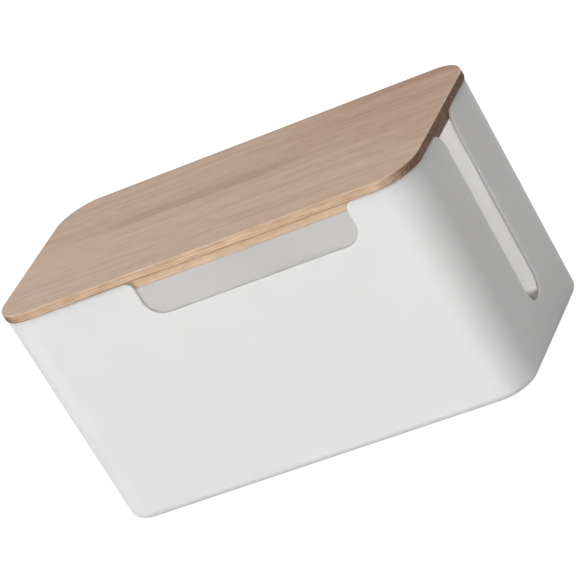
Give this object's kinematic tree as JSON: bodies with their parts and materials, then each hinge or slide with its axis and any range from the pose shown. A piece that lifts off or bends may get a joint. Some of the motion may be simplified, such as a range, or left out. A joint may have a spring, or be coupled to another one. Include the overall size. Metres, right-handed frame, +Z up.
{
  "type": "cable management box",
  "caption": "Rectangular white plastic cable box with rounded corners, end slots and a front notch, closed by a lift-off wooden lid.",
  "frame": {"origin": "on the table, under the middle of the box", "axes": "+X along the length, towards the end nearer the front notch; -Y out of the front wall that has the notch; +Z up"},
  "size_m": [0.31, 0.15, 0.166],
  "materials": {
    "shell_plastic": "fine matt white moulding",
    "lid_wood": "fine sanded, thin matt oil",
    "locating_wood": "sanded",
    "foot_rubber": "matt"
  },
  "bodies": {
    "box": {"box_shell": "shell_plastic", "foot_front_left": "foot_rubber", "foot_front_right": "foot_rubber", "foot_rear_left": "foot_rubber", "foot_rear_right": "foot_rubber"},
    "lid": {"lid_top_board": "lid_wood", "lid_locating_board": "locating_wood"}
  },
  "joints": [
    {"name": "lid_lift", "type": "slide", "parent": "box", "child": "lid", "axis": [0, 0, 1], "range_m": [0, 0.2]}
  ]
}
